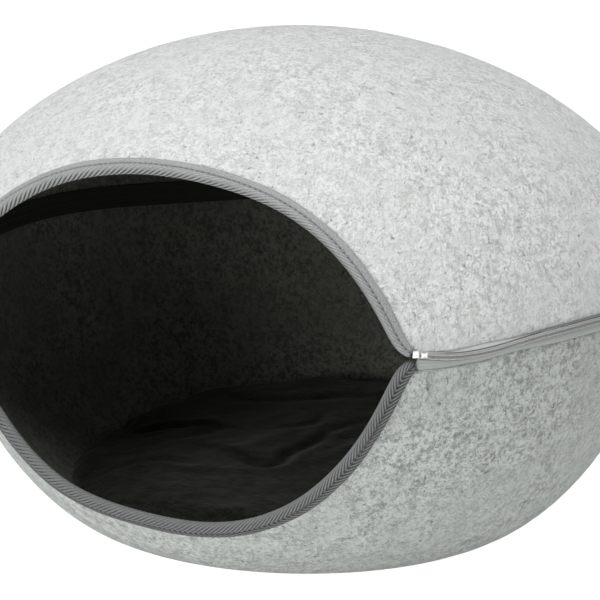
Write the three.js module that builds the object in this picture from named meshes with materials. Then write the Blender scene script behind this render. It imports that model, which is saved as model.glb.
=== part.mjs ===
// A felt pet cave: an egg of two felt halves, a dome and a bowl, closed by a zip
// round the middle. Each half is two layers of felt, and its lip at the opening
// is bound with folded tape. A loose cushion lies in the bowl.
// Millimetres and degrees. +Z is up, the opening faces -Y, and the foot is at z = 0.

import * as THREE from "three";
import { LoftGeometry } from "three/addons/geometries/LoftGeometry.js";
import { RoundedBoxGeometry } from "three/addons/geometries/RoundedBoxGeometry.js";

const { abs, asin, cos, exp, max, min, PI, sign, sin } = Math;
const { clamp, degToRad, lerp, radToDeg, smoothstep } = THREE.MathUtils;
const QUARTER_TURN = PI / 2;

// ---- Driving dimensions ----

// The egg's outer face. A half's rise runs from the seam to its pole. A roundness
// of 2 is an ellipse, and foot is the share of the plan that is flat at the pole.
// The rim is how far the felt stops from the seam's middle to show the zip.
// The lip is the edge of the opening: how far it reaches from the seam, the angle
// it spans to each side, its two roundness powers, its flare at the corners, and
// the lean and waver of an edge cut by hand.
const HALF_WIDTH = 240;
const HALF_DEPTH = 232;

const DOME = {
  side: 1,
  rise: 153,
  roundness: 1.9,
  foot: 0,
  rim: 4.9,
  lip: {
    reach: 93.3,
    span: 40.2,
    squareness: 3.5,
    fullness: 1.5,
    flare: 3,
    flareReach: 3,
    lean: 0,
    waver: 2.4,
    waverTurn: 4.8,
    waverStart: 1.66,
  },
};

const BOWL = {
  side: -1,
  rise: 168,
  roundness: 1.6,
  foot: 0.54,
  rim: 5.9,
  lip: {
    reach: 120.3,
    span: 40.8,
    squareness: 4.1,
    fullness: 1.34,
    flare: 2.35,
    flareReach: 4.5,
    lean: -0.08,
    waver: 5.9,
    waverTurn: 3.56,
    waverStart: 0.65,
  },
};

// The seam rises and falls a little as it goes round.
const SEAM_WANDER = 1.7;
const SEAM_WAVES = 6;
const WANDER_FADE = 45;

// Cloth thicknesses, and the gap kept between two pieces that touch
const OUTER_FELT = 2.8;
const LINING_FELT = 2.2;
const TAPE = 1;
const SEAT_GAP = 0.35;
const LINING_OUTSIDE = OUTER_FELT + SEAT_GAP;
const LINING_INSIDE = LINING_OUTSIDE + LINING_FELT;

// The binding: how wide it lies on the felt, where it stops at the corners, and
// how it narrows there
const BINDING_WIDTH = 7.5;
const BINDING_END = 0.8;
const BINDING_TIP = 3.2;
const BINDING_TAPER = 0.65;
const BINDING_TAPER_REACH = 3.5;
const BINDING_GAP = 0.65;
const BINDING_ROUNDING = 0.9;
const BINDING_INSIDE_GAP = 1.2;

// The zip: where it starts beside the opening, how far it runs above the seam's
// middle, most of all beside the opening, its tapes' slope, and its coil
const ZIP_START = 43.4;
const ZIP_HEIGHT = 0.4;
const ZIP_LIFT = 2.7;
const ZIP_LIFT_SPAN = 2.8;
const TAPE_DEPTH_AT_RIM = 2;
const TAPE_DEPTH_AT_COIL = 0.6;
const COIL_WIDTH = 4.2;
const COIL_HEIGHT = 1.6;
const COIL_START = 45.8;
const COIL_DEPTH = TAPE_DEPTH_AT_COIL - SEAT_GAP;

// The zip's metal: the box and the stop at the right corner, the slider at the left
const BOX_ANGLE = 43.85;
const STOP_ANGLE = 45.1;
const SLIDER_ANGLE = -49.5;
const SLIDER_HEIGHT = 2.2;

// The band that covers the zip inside
const FACING_START = 46;
const FACING_UP = 10;
const FACING_DOWN = 7.5;
const FACING_GAP = 0.85;

// The cushion: its gap to the felt, its height in the middle, its height at the
// edge by angle from the front, and its profile as shares of the bowl's width
// and of the edge's height
const CUSHION_GAP = 0.5;
const CUSHION_WALL_GAP = 1.5;
const CUSHION_MIDDLE = 44;
const CUSHION_EDGE = [
  { angle: -180, height: 56 },
  { angle: -160, height: 53 },
  { angle: -140, height: 47 },
  { angle: -112, height: 39 },
  { angle: -95, height: 32 },
  { angle: -50, height: 28 },
  { angle: 0, height: 33 },
  { angle: 90, height: 41 },
  { angle: 140, height: 50 },
  { angle: 180, height: 56 },
];
const CUSHION_SIDE = [
  { share: 0.86, height: 0 },
  { share: 0.96, height: 0.2 },
  { share: 1, height: 0.5 },
  { share: 0.98, height: 0.78 },
];
const CUSHION_TOP = [
  { share: 0.91, height: 0.94 },
  { share: 0.76, height: 1 },
  { share: 0.5, height: 1 },
  { share: 0.16, height: 1 },
];

// How finely the shapes are divided
const TRACK_STEPS = 400;
const LIP_STEPS = 24;
const SHARED_RIM_START = 47;
const SHARED_RIM_STEPS = 27;
const FELT_ROWS = 7;
const DOME_LAST_ROW = 0.95;
const CUSHION_COLUMNS = 30;

// ---- The egg's surface ----
// A place on a half is { phi, psi }: phi is the angle round from the front,
// positive to the right, and psi the angle from the seam to the pole.

// A point of the outer face, with the seam at height 0 and not yet wandering.
function outerFace(half, phi, psi) {
  const curve = max(0, 1 - sin(psi) ** half.roundness) ** (1 / half.roundness);
  const share = half.foot + (1 - half.foot) * curve;
  return new THREE.Vector3(
    HALF_WIDTH * share * sin(phi),
    -HALF_DEPTH * share * cos(phi),
    half.side * half.rise * sin(psi),
  );
}

// The directions in which phi and psi grow, each as long as the way for one radian.
function tangents(half, { phi, psi }) {
  const step = 1e-3;
  const at = clamp(psi, 2 * step, QUARTER_TURN - 2 * step);
  const around = outerFace(half, phi + step, at)
    .sub(outerFace(half, phi - step, at))
    .divideScalar(2 * step);
  const poleward = outerFace(half, phi, at + step)
    .sub(outerFace(half, phi, at - step))
    .divideScalar(2 * step);
  return { around, poleward };
}

function normalAt(half, place) {
  const { around, poleward } = tangents(half, place);
  return around.cross(poleward).multiplyScalar(half.side).normalize();
}

// A point below the outer face, as deep as stated, in the part's own frame.
function eggPoint(half, place, depth) {
  const point = outerFace(half, place.phi, place.psi);
  const fade = exp(-((point.z / WANDER_FADE) ** 2));
  point.addScaledVector(normalAt(half, place), -depth);
  point.z += BOWL.rise + SEAM_WANDER * sin(SEAM_WAVES * place.phi) * fade;
  return point;
}

function reachOf(half, place) {
  return half.rise * sin(place.psi);
}

function psiAtReach(half, reach) {
  return asin(reach / half.rise);
}

// The place reached by going along the surface, as far and in the direction stated.
function slide(half, place, direction, distance) {
  const { around, poleward } = tangents(half, place);
  const aa = around.dot(around);
  const pp = poleward.dot(poleward);
  const ap = around.dot(poleward);
  const a = around.dot(direction) * distance;
  const p = poleward.dot(direction) * distance;
  const scale = aa * pp - ap * ap;
  return {
    phi: place.phi + (a * pp - p * ap) / scale,
    psi: place.psi + (p * aa - a * ap) / scale,
  };
}

// ---- The lip of the opening ----

// The fold of the binding, from the left corner to the right one.
function lipTrack(half) {
  const lip = half.lip;
  const track = [];
  for (let i = 0; i <= TRACK_STEPS; i++) {
    const sweep = -cos((PI * i) / TRACK_STEPS);
    const arch = lip.reach * (1 - abs(sweep) ** lip.squareness) ** (1 / lip.fullness);
    const flare = sign(sweep) * lip.flare * exp(-arch / lip.flareReach);
    const waver = lip.waver * sin(lip.waverTurn * sweep + lip.waverStart);
    const reach = arch * (1 + lip.lean * sweep) + waver * (1 - sweep ** 2);
    track.push({
      phi: degToRad(lip.span * sweep + flare),
      psi: psiAtReach(half, reach),
    });
  }
  return track;
}

// The direction along the surface that leads away from the opening.
function awayFrom(half, track, i) {
  const before = eggPoint(half, track[max(0, i - 1)], 0);
  const after = eggPoint(half, track[min(track.length - 1, i + 1)], 0);
  const along = after.sub(before).normalize();
  return normalAt(half, track[i]).cross(along).multiplyScalar(half.side).normalize();
}

function setBack(half, track, distance) {
  return track.map((place, i) => slide(half, place, awayFrom(half, track, i), distance));
}

function between(a, b, share) {
  return { phi: lerp(a.phi, b.phi, share), psi: lerp(a.psi, b.psi, share) };
}

// The part of a track that lies further from the seam than the reach stated.
function beyond(half, track, reach) {
  const far = (place) => reachOf(half, place) > reach;
  const first = track.findIndex(far);
  const last = track.findLastIndex(far);
  const cross = (a, b) => {
    const from = reachOf(half, a);
    return between(a, b, (reach - from) / (reachOf(half, b) - from));
  };
  return [
    cross(track[first - 1], track[first]),
    ...track.slice(first, last + 1),
    cross(track[last], track[last + 1]),
  ];
}

// How far along a track each of its places lies.
function distancesAlong(half, track) {
  const points = track.map((place) => eggPoint(half, place, 0));
  const distances = [0];
  for (let i = 1; i < points.length; i++)
    distances.push(distances[i - 1] + points[i].distanceTo(points[i - 1]));
  return distances;
}

function evenly(half, track, steps) {
  const distances = distancesAlong(half, track);
  const places = [];
  for (let i = 0, j = 0; i <= steps; i++) {
    const target = (distances.at(-1) * i) / steps;
    while (j < track.length - 2 && distances[j + 1] < target) j++;
    const share = (target - distances[j]) / (distances[j + 1] - distances[j]);
    places.push(between(track[j], track[j + 1], share));
  }
  return places;
}

// The cut edge of the felt along the opening, inside the fold of the binding.
// It is carried on down to the ends of the binding.
function cutEdge(half) {
  const fold = beyond(half, lipTrack(half), BINDING_END);
  return setBack(half, fold, TAPE + SEAT_GAP);
}

function feltLip(half) {
  return evenly(half, beyond(half, cutEdge(half), half.rim), LIP_STEPS);
}

// ---- Felt ----

// The angles at which every piece that goes round the seam has its stations.
function seamAngles(start) {
  const angles = [degToRad(start)];
  for (let i = 0; i <= SHARED_RIM_STEPS; i++) {
    const turn = (360 - 2 * SHARED_RIM_START) * (i / SHARED_RIM_STEPS);
    angles.push(degToRad(SHARED_RIM_START + turn));
  }
  angles.push(degToRad(360 - start));
  return angles;
}

// The whole edge of a half's felt: along the opening, then round the rim.
function feltEdge(half) {
  const psi = psiAtReach(half, half.rim);
  const rim = seamAngles(0)
    .slice(1, -1)
    .map((phi) => ({ phi, psi }));
  return [...feltLip(half), ...rim];
}

// Rows of places from the felt's edge to the pole. The columns spread evenly there.
function feltRows(half, lastRow) {
  const edge = feltEdge(half);
  const closing = { phi: edge[0].phi + 2 * PI, psi: edge[0].psi };
  const distances = distancesAlong(half, [...edge, closing]);
  const total = distances.at(-1);
  const middle = distances[LIP_STEPS] / 2;
  const rows = [];
  for (let i = 0; i <= FELT_ROWS; i++) {
    const share = lastRow * (i / FELT_ROWS) ** 1.45;
    const spread = 1 - (1 - share) ** 2;
    rows.push(
      edge.map((place, j) => ({
        phi: lerp(place.phi, (2 * PI * (distances[j] - middle)) / total, spread),
        psi: lerp(place.psi, QUARTER_TURN, share),
      })),
    );
  }
  return rows;
}

function middleOf(ring) {
  const sum = ring.reduce((total, point) => total.add(point), new THREE.Vector3());
  return sum.divideScalar(ring.length);
}

// A skin over rings of points. A fan round its middle closes each end ring. The
// second half of the rings is split the other way, so that layers nest.
function closedSkin(rings) {
  const count = rings[0].length;
  const points = [...rings.flat(), middleOf(rings[0]), middleOf(rings.at(-1))];
  const endRing = (rings.length - 1) * count;
  const endMiddle = points.length - 1;
  const faces = [];
  for (let j = 0; j < count; j++) {
    const next = (j + 1) % count;
    faces.push(endMiddle - 1, next, j);
    for (let row = 0; row < endRing; row += count) {
      const [a, b] = [row + j, row + next];
      const [c, d] = [b + count, a + count];
      if (row < endRing / 2) faces.push(a, b, d, b, c, d);
      else faces.push(a, b, c, a, c, d);
    }
    faces.push(endMiddle, endRing + j, endRing + next);
  }
  const skin = new THREE.BufferGeometry().setFromPoints(points).setIndex(faces);
  skin.computeVertexNormals();
  return skin;
}

// A layer of felt between two depths, lofted from its outer pole to its inner one.
function feltLayer(half, outside, inside) {
  const rows = feltRows(half, half === DOME ? DOME_LAST_ROW : 1);
  const ring = (row, depth) => {
    const points = row.map((place) => eggPoint(half, place, depth));
    return half === DOME ? points.reverse() : points;
  };
  return closedSkin([
    ...rows.toReversed().map((row) => ring(row, outside)),
    ...rows.map((row) => ring(row, inside)),
  ]);
}

// ---- Binding ----

// Tape folded over both layers of felt along the lip. It narrows at the corners.
function binding(half) {
  const edge = cutEdge(half);
  const tips = beyond(half, edge, BINDING_TIP);
  const track = [edge[0], tips[0], ...feltLip(half), tips.at(-1), edge.at(-1)];
  const top = -BINDING_GAP;
  const bottom = LINING_INSIDE + BINDING_INSIDE_GAP;
  const fold = -SEAT_GAP - TAPE;
  const corner = fold + BINDING_ROUNDING;
  const sections = track.map((place, i) => {
    const away = awayFrom(half, track, i);
    const taper = BINDING_TAPER * exp(-reachOf(half, place) / BINDING_TAPER_REACH);
    const width = BINDING_WIDTH * (1 - taper);
    const outline = [
      [width, top - TAPE],
      [corner, top - TAPE],
      [fold, top - TAPE + BINDING_ROUNDING],
      [fold, bottom + TAPE - BINDING_ROUNDING],
      [corner, bottom + TAPE],
      [width, bottom + TAPE],
      [width, bottom],
      [-SEAT_GAP, bottom],
      [-SEAT_GAP, top],
      [width, top],
    ];
    const points = outline.map(([distance, depth]) =>
      eggPoint(half, slide(half, place, away, distance), depth),
    );
    return half === DOME ? points : points.reverse();
  });
  return new LoftGeometry(sections, { capStart: true, capEnd: true });
}

// ---- Zip ----

// A point beside the seam: height above it, depth below the egg's outer face.
function seamPoint(phi, height, depth) {
  const half = height < 0 ? BOWL : DOME;
  return eggPoint(half, { phi, psi: psiAtReach(half, abs(height)) }, depth);
}

// How far above the seam's middle the zip runs.
function zipHeight(phi) {
  const angle = min(radToDeg(phi), 360 - radToDeg(phi));
  return ZIP_HEIGHT + ZIP_LIFT * exp(-(((angle - ZIP_START) / ZIP_LIFT_SPAN) ** 2));
}

// A strip round the seam from one side of the opening to the other. Its outline is
// a list of [height, depth] corners, for the height at which the zip runs.
function seamStrip(start, outline) {
  const sections = seamAngles(start).map((phi) =>
    outline(zipHeight(phi)).map(([height, depth]) => seamPoint(phi, height, depth)),
  );
  return new LoftGeometry(sections, { capStart: true, capEnd: true });
}

function upperZipTape() {
  const rim = DOME.rim - SEAT_GAP;
  return seamStrip(ZIP_START, (zip) => [
    [rim, TAPE_DEPTH_AT_RIM],
    [zip + SEAT_GAP / 2, TAPE_DEPTH_AT_COIL],
    [zip + SEAT_GAP / 2, TAPE_DEPTH_AT_COIL + TAPE],
    [rim, TAPE_DEPTH_AT_RIM + TAPE],
  ]);
}

function lowerZipTape() {
  const rim = SEAT_GAP - BOWL.rim;
  return seamStrip(ZIP_START, (zip) => [
    [zip - SEAT_GAP / 2, TAPE_DEPTH_AT_COIL],
    [rim, TAPE_DEPTH_AT_RIM],
    [rim, TAPE_DEPTH_AT_RIM + TAPE],
    [zip - SEAT_GAP / 2, TAPE_DEPTH_AT_COIL + TAPE],
  ]);
}

function zipCoil() {
  return seamStrip(COIL_START, (zip) => [
    [zip + COIL_WIDTH / 2, COIL_DEPTH - 0.5],
    [zip + COIL_WIDTH / 4, COIL_DEPTH - COIL_HEIGHT],
    [zip - COIL_WIDTH / 4, COIL_DEPTH - COIL_HEIGHT],
    [zip - COIL_WIDTH / 2, COIL_DEPTH - 0.5],
    [zip - COIL_WIDTH / 2, COIL_DEPTH],
    [zip + COIL_WIDTH / 2, COIL_DEPTH],
  ]);
}

function zipFacing() {
  const outside = LINING_INSIDE + FACING_GAP;
  return seamStrip(FACING_START, () => [
    [FACING_UP, outside],
    [0, outside],
    [-FACING_DOWN, outside],
    [-FACING_DOWN, outside + TAPE],
    [0, outside + TAPE],
    [FACING_UP, outside + TAPE],
  ]);
}

// Turns a small flat piece to lie on the zip: its x along the zip, its y up, and
// its z outwards, with its origin at the depth stated.
function placeOnZip(mesh, angle, depth) {
  const phi = degToRad(angle);
  const outwards = normalAt(DOME, { phi, psi: 0 }).setZ(0).normalize();
  const up = new THREE.Vector3(0, 0, 1);
  const along = new THREE.Vector3().crossVectors(up, outwards);
  const turn = new THREE.Matrix4().makeBasis(along, up, outwards);
  mesh.quaternion.setFromRotationMatrix(turn);
  mesh.position.copy(seamPoint(phi, zipHeight(abs(phi)), depth));
}

function plate(outline, thickness, hole) {
  const shape = new THREE.Shape(outline.map(([x, y]) => new THREE.Vector2(x, y)));
  if (hole) shape.holes.push(hole);
  return new THREE.ExtrudeGeometry(shape, {
    depth: thickness,
    bevelEnabled: false,
    curveSegments: 6,
  });
}

// The stop beside the box: two wedges that meet at a narrow waist.
function stopPlate() {
  return plate([[-1.9, -1.7], [0, -1.1], [1.9, -1.7], [1.9, 1.7], [0, 1.1], [-1.9, 1.7]], 2);
}

function sliderPlate() {
  return plate([[-5, -3], [2, -4], [5, -4], [5, 4], [2, 4], [-5, 3]], SLIDER_HEIGHT);
}

// A tab that hangs from the slider, with a hole at its top.
function pullPlate() {
  const hole = new THREE.Path().absarc(0, -1.5, 1.5, 0, 2 * PI, true);
  const outline = [[-2.2, 1.5], [-3.2, -20], [-2, -23], [2, -23], [3.2, -20], [2.2, 1.5]];
  return plate(outline, 1.2, hole);
}

// ---- Cushion ----

// The height of the cushion's edge at an angle from the front.
function cushionEdge(phi) {
  const angle = radToDeg(phi);
  const i = CUSHION_EDGE.findIndex((row) => row.angle >= angle);
  const to = CUSHION_EDGE[max(1, i)];
  const from = CUSHION_EDGE[max(1, i) - 1];
  return lerp(from.height, to.height, smoothstep(angle, from.angle, to.angle));
}

// The place on the bowl's lining, kept clear by the gap stated, at a height.
function wallPoint(phi, height, gap) {
  let low = 0;
  let high = QUARTER_TURN;
  for (let i = 0; i < 30; i++) {
    const psi = (low + high) / 2;
    const point = eggPoint(BOWL, { phi, psi }, LINING_INSIDE + gap);
    if (point.z > height) low = psi;
    else high = psi;
  }
  return eggPoint(BOWL, { phi, psi: low }, LINING_INSIDE + gap);
}

function cushionRing(row, heightAt) {
  const points = [];
  for (let i = 0; i < CUSHION_COLUMNS; i++) {
    const phi = (2 * PI * i) / CUSHION_COLUMNS - PI;
    const height = heightAt(phi);
    const wall = wallPoint(phi, height, CUSHION_WALL_GAP);
    points.push(new THREE.Vector3(wall.x * row.share, wall.y * row.share, height));
  }
  return points;
}

function cushionBody() {
  const floor = LINING_INSIDE + CUSHION_GAP;
  const side = CUSHION_SIDE.map((row) =>
    cushionRing(row, (phi) => lerp(floor, cushionEdge(phi), row.height)),
  );
  const top = CUSHION_TOP.map((row) =>
    cushionRing(row, (phi) => {
      const edge = lerp(floor, cushionEdge(phi), row.height);
      return lerp(CUSHION_MIDDLE, edge, row.share ** 2);
    }),
  );
  return closedSkin([...side, ...top]);
}

// ---- Materials and assembly ----

const cloth = (color) => new THREE.MeshStandardMaterial({ color, roughness: 1, metalness: 0 });
const LIGHT_FELT = cloth(0xc9cbca);
const DARK_FELT = cloth(0x3b3d3c);
const BINDING_TAPE = cloth(0x939698);
const ZIP_TAPE = cloth(0xb7bab9);
const FACING_TAPE = cloth(0x1f211e);
const DARK_PLUSH = cloth(0x2c2d2b);
const COIL_PLASTIC = new THREE.MeshStandardMaterial({ color: 0xa4a7a7, roughness: 0.5, metalness: 0 });
const BRIGHT_METAL = new THREE.MeshStandardMaterial({ color: 0xe6e7e8, roughness: 0.25, metalness: 1 });

const group = new THREE.Group();

function add(name, geometry, material) {
  const mesh = new THREE.Mesh(geometry, material);
  mesh.name = name;
  group.add(mesh);
  return mesh;
}

add("dome_felt", feltLayer(DOME, 0, OUTER_FELT), LIGHT_FELT);
add("dome_lining", feltLayer(DOME, LINING_OUTSIDE, LINING_INSIDE), DARK_FELT);
add("bowl_felt", feltLayer(BOWL, 0, OUTER_FELT), LIGHT_FELT);
add("bowl_lining", feltLayer(BOWL, LINING_OUTSIDE, LINING_INSIDE), DARK_FELT);
add("dome_binding", binding(DOME), BINDING_TAPE);
add("bowl_binding", binding(BOWL), BINDING_TAPE);
add("upper_zip_tape", upperZipTape(), ZIP_TAPE);
add("lower_zip_tape", lowerZipTape(), ZIP_TAPE);
add("zip_coil", zipCoil(), COIL_PLASTIC);
add("zip_facing", zipFacing(), FACING_TAPE);
add("cushion", cushionBody(), DARK_PLUSH);

const coilFront = COIL_DEPTH - COIL_HEIGHT;
const box = add("zip_box", new RoundedBoxGeometry(4, 4.4, 1.6, 1, 0.4), BRIGHT_METAL);
placeOnZip(box, BOX_ANGLE, -SEAT_GAP - 0.8);
placeOnZip(add("zip_stop", stopPlate(), BRIGHT_METAL), STOP_ANGLE, COIL_DEPTH);
placeOnZip(add("zip_slider", sliderPlate(), BRIGHT_METAL), SLIDER_ANGLE, coilFront);
placeOnZip(
  add("zip_pull", pullPlate(), BRIGHT_METAL),
  SLIDER_ANGLE,
  coilFront - SLIDER_HEIGHT - SEAT_GAP,
);

export default group;
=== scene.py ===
# Looks for the felt pet cave: two felt halves with dark linings, bound lips, a
# coil zip round the middle with a smooth band behind it, and a plush cushion.
# Shape functions work in millimetres and degrees, as the part's source does, and
# every mesh is laid in metres. +Z is up and the opening faces -Y.

import math

import bmesh
import bpy
import numpy as np
from mathutils import Matrix, Vector, noise


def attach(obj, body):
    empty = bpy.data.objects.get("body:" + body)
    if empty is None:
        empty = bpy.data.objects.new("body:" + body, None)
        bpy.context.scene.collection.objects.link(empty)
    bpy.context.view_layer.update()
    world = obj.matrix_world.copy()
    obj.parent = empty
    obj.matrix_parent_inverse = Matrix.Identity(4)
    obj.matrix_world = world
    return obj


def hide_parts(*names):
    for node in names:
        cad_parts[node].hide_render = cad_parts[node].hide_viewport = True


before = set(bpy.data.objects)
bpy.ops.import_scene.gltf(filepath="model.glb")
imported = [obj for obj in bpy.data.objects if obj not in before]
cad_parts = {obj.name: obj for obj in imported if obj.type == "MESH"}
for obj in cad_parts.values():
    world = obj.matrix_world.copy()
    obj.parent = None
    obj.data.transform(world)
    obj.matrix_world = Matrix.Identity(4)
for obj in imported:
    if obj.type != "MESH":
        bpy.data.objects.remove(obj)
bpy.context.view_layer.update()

MM = 0.001
TURN = 2 * math.pi
QUARTER = math.pi / 2

# ---- Sizes of the egg, in millimetres ----

HALF_WIDTH = 240
HALF_DEPTH = 232
SEAM_HEIGHT = 168
SEAM_WANDER = 1.7
SEAM_WAVES = 6
WANDER_FADE = 45
FELT_SWELLS = ((0.45, 62), (0.22, 27))
SWELL_FREE = 16
FLAT_FROM = 140
FLAT_EASE = 25

# The two halves: side is up or down, rise from seam to pole, roundness the power of
# the curve and foot how wide the pole stays flat. The rest shapes the lip: reach
# from the seam, span in degrees, how square and full its arch is, and how it
# flares at the corners, leans and wavers.
DOME = dict(
    side=1, rise=153, roundness=1.9, foot=0,
    reach=93.3, span=40.2, squareness=3.5, fullness=1.5,
    flare=2.6, flare_reach=4.5, kick=0.6, lean=0,
    waver=2.4, waver_turn=4.8, waver_start=1.66,
)
BOWL = dict(
    side=-1, rise=168, roundness=1.6, foot=0.54,
    reach=120.3, span=40.8, squareness=4.1, fullness=1.34,
    flare=2.6, flare_reach=5.5, kick=0.45, lean=-0.08,
    waver=5.9, waver_turn=3.56, waver_start=0.65,
)
KICK_REACH = 24
LIP_STEPS = 400

OUTER_FELT = 2.8
LINING_OUTSIDE = 3.15
LINING_INSIDE = 5.35
TAPE_EDGE = 1.35
BINDING_END = 0.5

# Where the rims of the felt and the zip run beside the seam: angle from the
# front, upper rim, zip, lower rim
RIMS = (
    (43, 3.4, 2.6, -8.0),
    (46, 3.4, 0.9, -8.0),
    (49, 2.7, -0.8, -7.9),
    (51.5, 3.4, -1.35, -6.8),
    (55, 4.9, -1.1, -6.7),
    (57, 4.7, -0.5, -5.1),
    (60.4, 4.8, 0.85, -4.3),
    (64, 5.5, 1.8, -4.7),
    (68, 5.7, 2.1, -5.3),
    (74, 6.0, 2.1, -5.4),
    (84, 5.4, 1.4, -5.6),
    (100, 4.9, 0.5, -5.9),
    (140, 5.1, 0.4, -5.7),
    (180, 4.8, 0.4, -5.9),
)
RIM_STEPS = 600
RIM_EASE = 6
RAGGED_HEIGHT = 0.22
RAGGED_WAVES = ((1, 60, 0), (0.6, 170, 5))


# ---- The egg's surface ----


def bell(x, power=2):
    """1 in the middle, fading to 0 on both sides."""
    return np.exp(-(x**power))


def outer_face(half, phi, psi):
    """Points of the plain egg, by the angle round it and the angle from its seam."""
    curve = np.maximum(0, 1 - np.sin(psi) ** half["roundness"]) ** (1 / half["roundness"])
    share = half["foot"] + (1 - half["foot"]) * curve
    x = HALF_WIDTH * share * np.sin(phi)
    y = -HALF_DEPTH * share * np.cos(phi)
    return np.stack([x, y, half["side"] * half["rise"] * np.sin(psi)], axis=-1)


def tangents(half, phi, psi):
    """How the face runs at a place, for each radian round it and toward its pole."""
    step = 1e-3
    at = np.clip(psi, 2 * step, QUARTER - 2 * step)
    around = outer_face(half, phi + step, at) - outer_face(half, phi - step, at)
    poleward = outer_face(half, phi, at + step) - outer_face(half, phi, at - step)
    return around / (2 * step), poleward / (2 * step)


def unit(vectors):
    return vectors / np.linalg.norm(vectors, axis=-1, keepdims=True)


def normal_at(half, phi, psi):
    around, poleward = tangents(half, phi, psi)
    return unit(np.cross(around, poleward) * half["side"])


def swelling(point, waves):
    """Smooth noise at a point, the sum of waves of the heights and lengths stated."""
    return sum(height * noise.noise(Vector(point) / length) for height, length in waves)


def unevenness(points):
    """How far hand-formed felt swells out of the plain egg, away from the seam."""
    swell = [swelling(p, FELT_SWELLS) for p in points.reshape(-1, 3)]
    calm = bell(points[..., 2] / SWELL_FREE)
    return np.array(swell).reshape(points.shape[:-1]) * (1 - calm)


def egg_point(half, phi, psi, depth, inward=0):
    """A point below the outer face. inward draws it across the flat foot, up to 1."""
    point = outer_face(half, phi, psi)
    fade = bell(point[..., 2] / WANDER_FADE)
    off_foot = 1 - np.clip((-point[..., 2] - FLAT_FROM) / FLAT_EASE, 0, 1)
    out = unevenness(point) * off_foot - depth
    point = point + normal_at(half, phi, psi) * np.asarray(out)[..., None]
    point[..., 2] += SEAM_HEIGHT + SEAM_WANDER * np.sin(SEAM_WAVES * phi) * fade
    point[..., :2] *= np.asarray(1 - np.asarray(inward))[..., None]
    return point


def psi_at(half, reach):
    """The angle from the seam at which the face lies that far above or below it."""
    return np.arcsin(np.clip(reach / half["rise"], 0, 1))


def slide(half, phi, psi, direction, distance):
    """A place moved along the face by a distance in a direction."""
    around, poleward = tangents(half, phi, psi)
    dot = lambda a, b: (a * b).sum(axis=-1)
    aa, pp, ap = dot(around, around), dot(poleward, poleward), dot(around, poleward)
    a, p = dot(around, direction) * distance, dot(poleward, direction) * distance
    scale = aa * pp - ap * ap
    return phi + (a * pp - p * ap) / scale, psi + (p * aa - a * ap) / scale


# ---- The lip of the opening ----


def lip_track(half):
    """The lip's line over the opening, from its left corner to its right."""
    sweep = -np.cos(math.pi * np.arange(LIP_STEPS + 1) / LIP_STEPS)
    arch = (1 - np.abs(sweep) ** half["squareness"]) ** (1 / half["fullness"])
    arch = half["reach"] * arch
    flare = half["flare"] * np.exp(-arch / half["flare_reach"])
    flare = np.sign(sweep) * (flare + half["kick"] * bell(arch / KICK_REACH))
    waver = half["waver"] * np.sin(half["waver_turn"] * sweep + half["waver_start"])
    reach = arch * (1 + half["lean"] * sweep) + waver * (1 - sweep**2)
    return np.radians(half["span"] * sweep + flare), psi_at(half, np.maximum(reach, 0))


def away_from(half, phi, psi):
    """Directions on the face, square to a track and away from the opening."""
    along = unit(np.gradient(outer_face(half, phi, psi), axis=0))
    return unit(np.cross(normal_at(half, phi, psi), along) * half["side"])


def set_back(half, track, distance):
    return slide(half, *track, away_from(half, *track), distance)


def beyond(half, track, reach):
    """The part of a track that lies further from the seam than the reach stated."""
    phi, psi = track
    far = np.flatnonzero(half["rise"] * np.sin(psi) > reach)
    first, last = far[0], far[-1]
    edge = psi_at(half, reach)

    def crossing(a, b):
        share = (edge - psi[a]) / (psi[b] - psi[a])
        return phi[a] + (phi[b] - phi[a]) * share

    ends = crossing(first - 1, first), crossing(last + 1, last)
    return np.r_[ends[0], phi[far], ends[1]], np.r_[edge, psi[far], edge]


def lengths(points):
    """How far along a line each of its points is."""
    steps = np.linalg.norm(np.diff(points, axis=0), axis=1)
    return np.r_[0, np.cumsum(steps)]


def evenly(half, track, steps):
    along = lengths(egg_point(half, *track, 0))
    at = np.linspace(0, along[-1], steps + 1)
    return np.interp(at, along, track[0]), np.interp(at, along, track[1])


def cut_edge(half):
    return set_back(half, beyond(half, lip_track(half), BINDING_END), TAPE_EDGE)


def smooth_table(phi, column):
    """A column of RIMS by the angle round the seam, on an eased line."""
    rows = np.array(RIMS)
    fine = np.linspace(rows[0, 0], rows[-1, 0], RIM_STEPS)
    plain = np.pad(np.interp(fine, rows[:, 0], rows[:, column]), RIM_EASE, mode="edge")
    window = 2 * RIM_EASE + 1
    eased = np.convolve(plain, np.ones(window) / window, mode="valid")
    angle = np.degrees(phi) % 360
    return np.interp(np.minimum(angle, 360 - angle), fine, eased)


def ragged(phi, seed):
    """The small unevenness of an edge cut by hand, by the angle round the seam."""
    wave = [sum(share * noise.noise(Vector((p * pace, seed, layer)))
                for share, pace, layer in RAGGED_WAVES) for p in np.ravel(phi)]
    return RAGGED_HEIGHT * np.array(wave).reshape(np.shape(phi))


def upper_rim(phi):
    return smooth_table(phi, 1) + ragged(phi, 1)


def zip_height(phi):
    return smooth_table(phi, 2)


def lower_rim(phi):
    return -smooth_table(phi, 3) + ragged(phi, 2)


# ---- Meshes ----


def in_scene(name, data):
    thing = bpy.data.objects.new(name, data)
    bpy.context.scene.collection.objects.link(thing)
    return thing


def finished(name, bm, material, stands_for=()):
    """Makes a piece of a bmesh, with what it rides on, stands for and is made of."""
    bmesh.ops.recalc_face_normals(bm, faces=bm.faces)
    mesh = bpy.data.meshes.new(name)
    bm.to_mesh(mesh)
    bm.free()
    for face in mesh.polygons:
        face.use_smooth = True
    piece = in_scene(name, mesh)
    mesh.materials.append(material)
    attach(piece, "root")
    if stands_for:
        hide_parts(*stands_for)
    return piece


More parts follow.
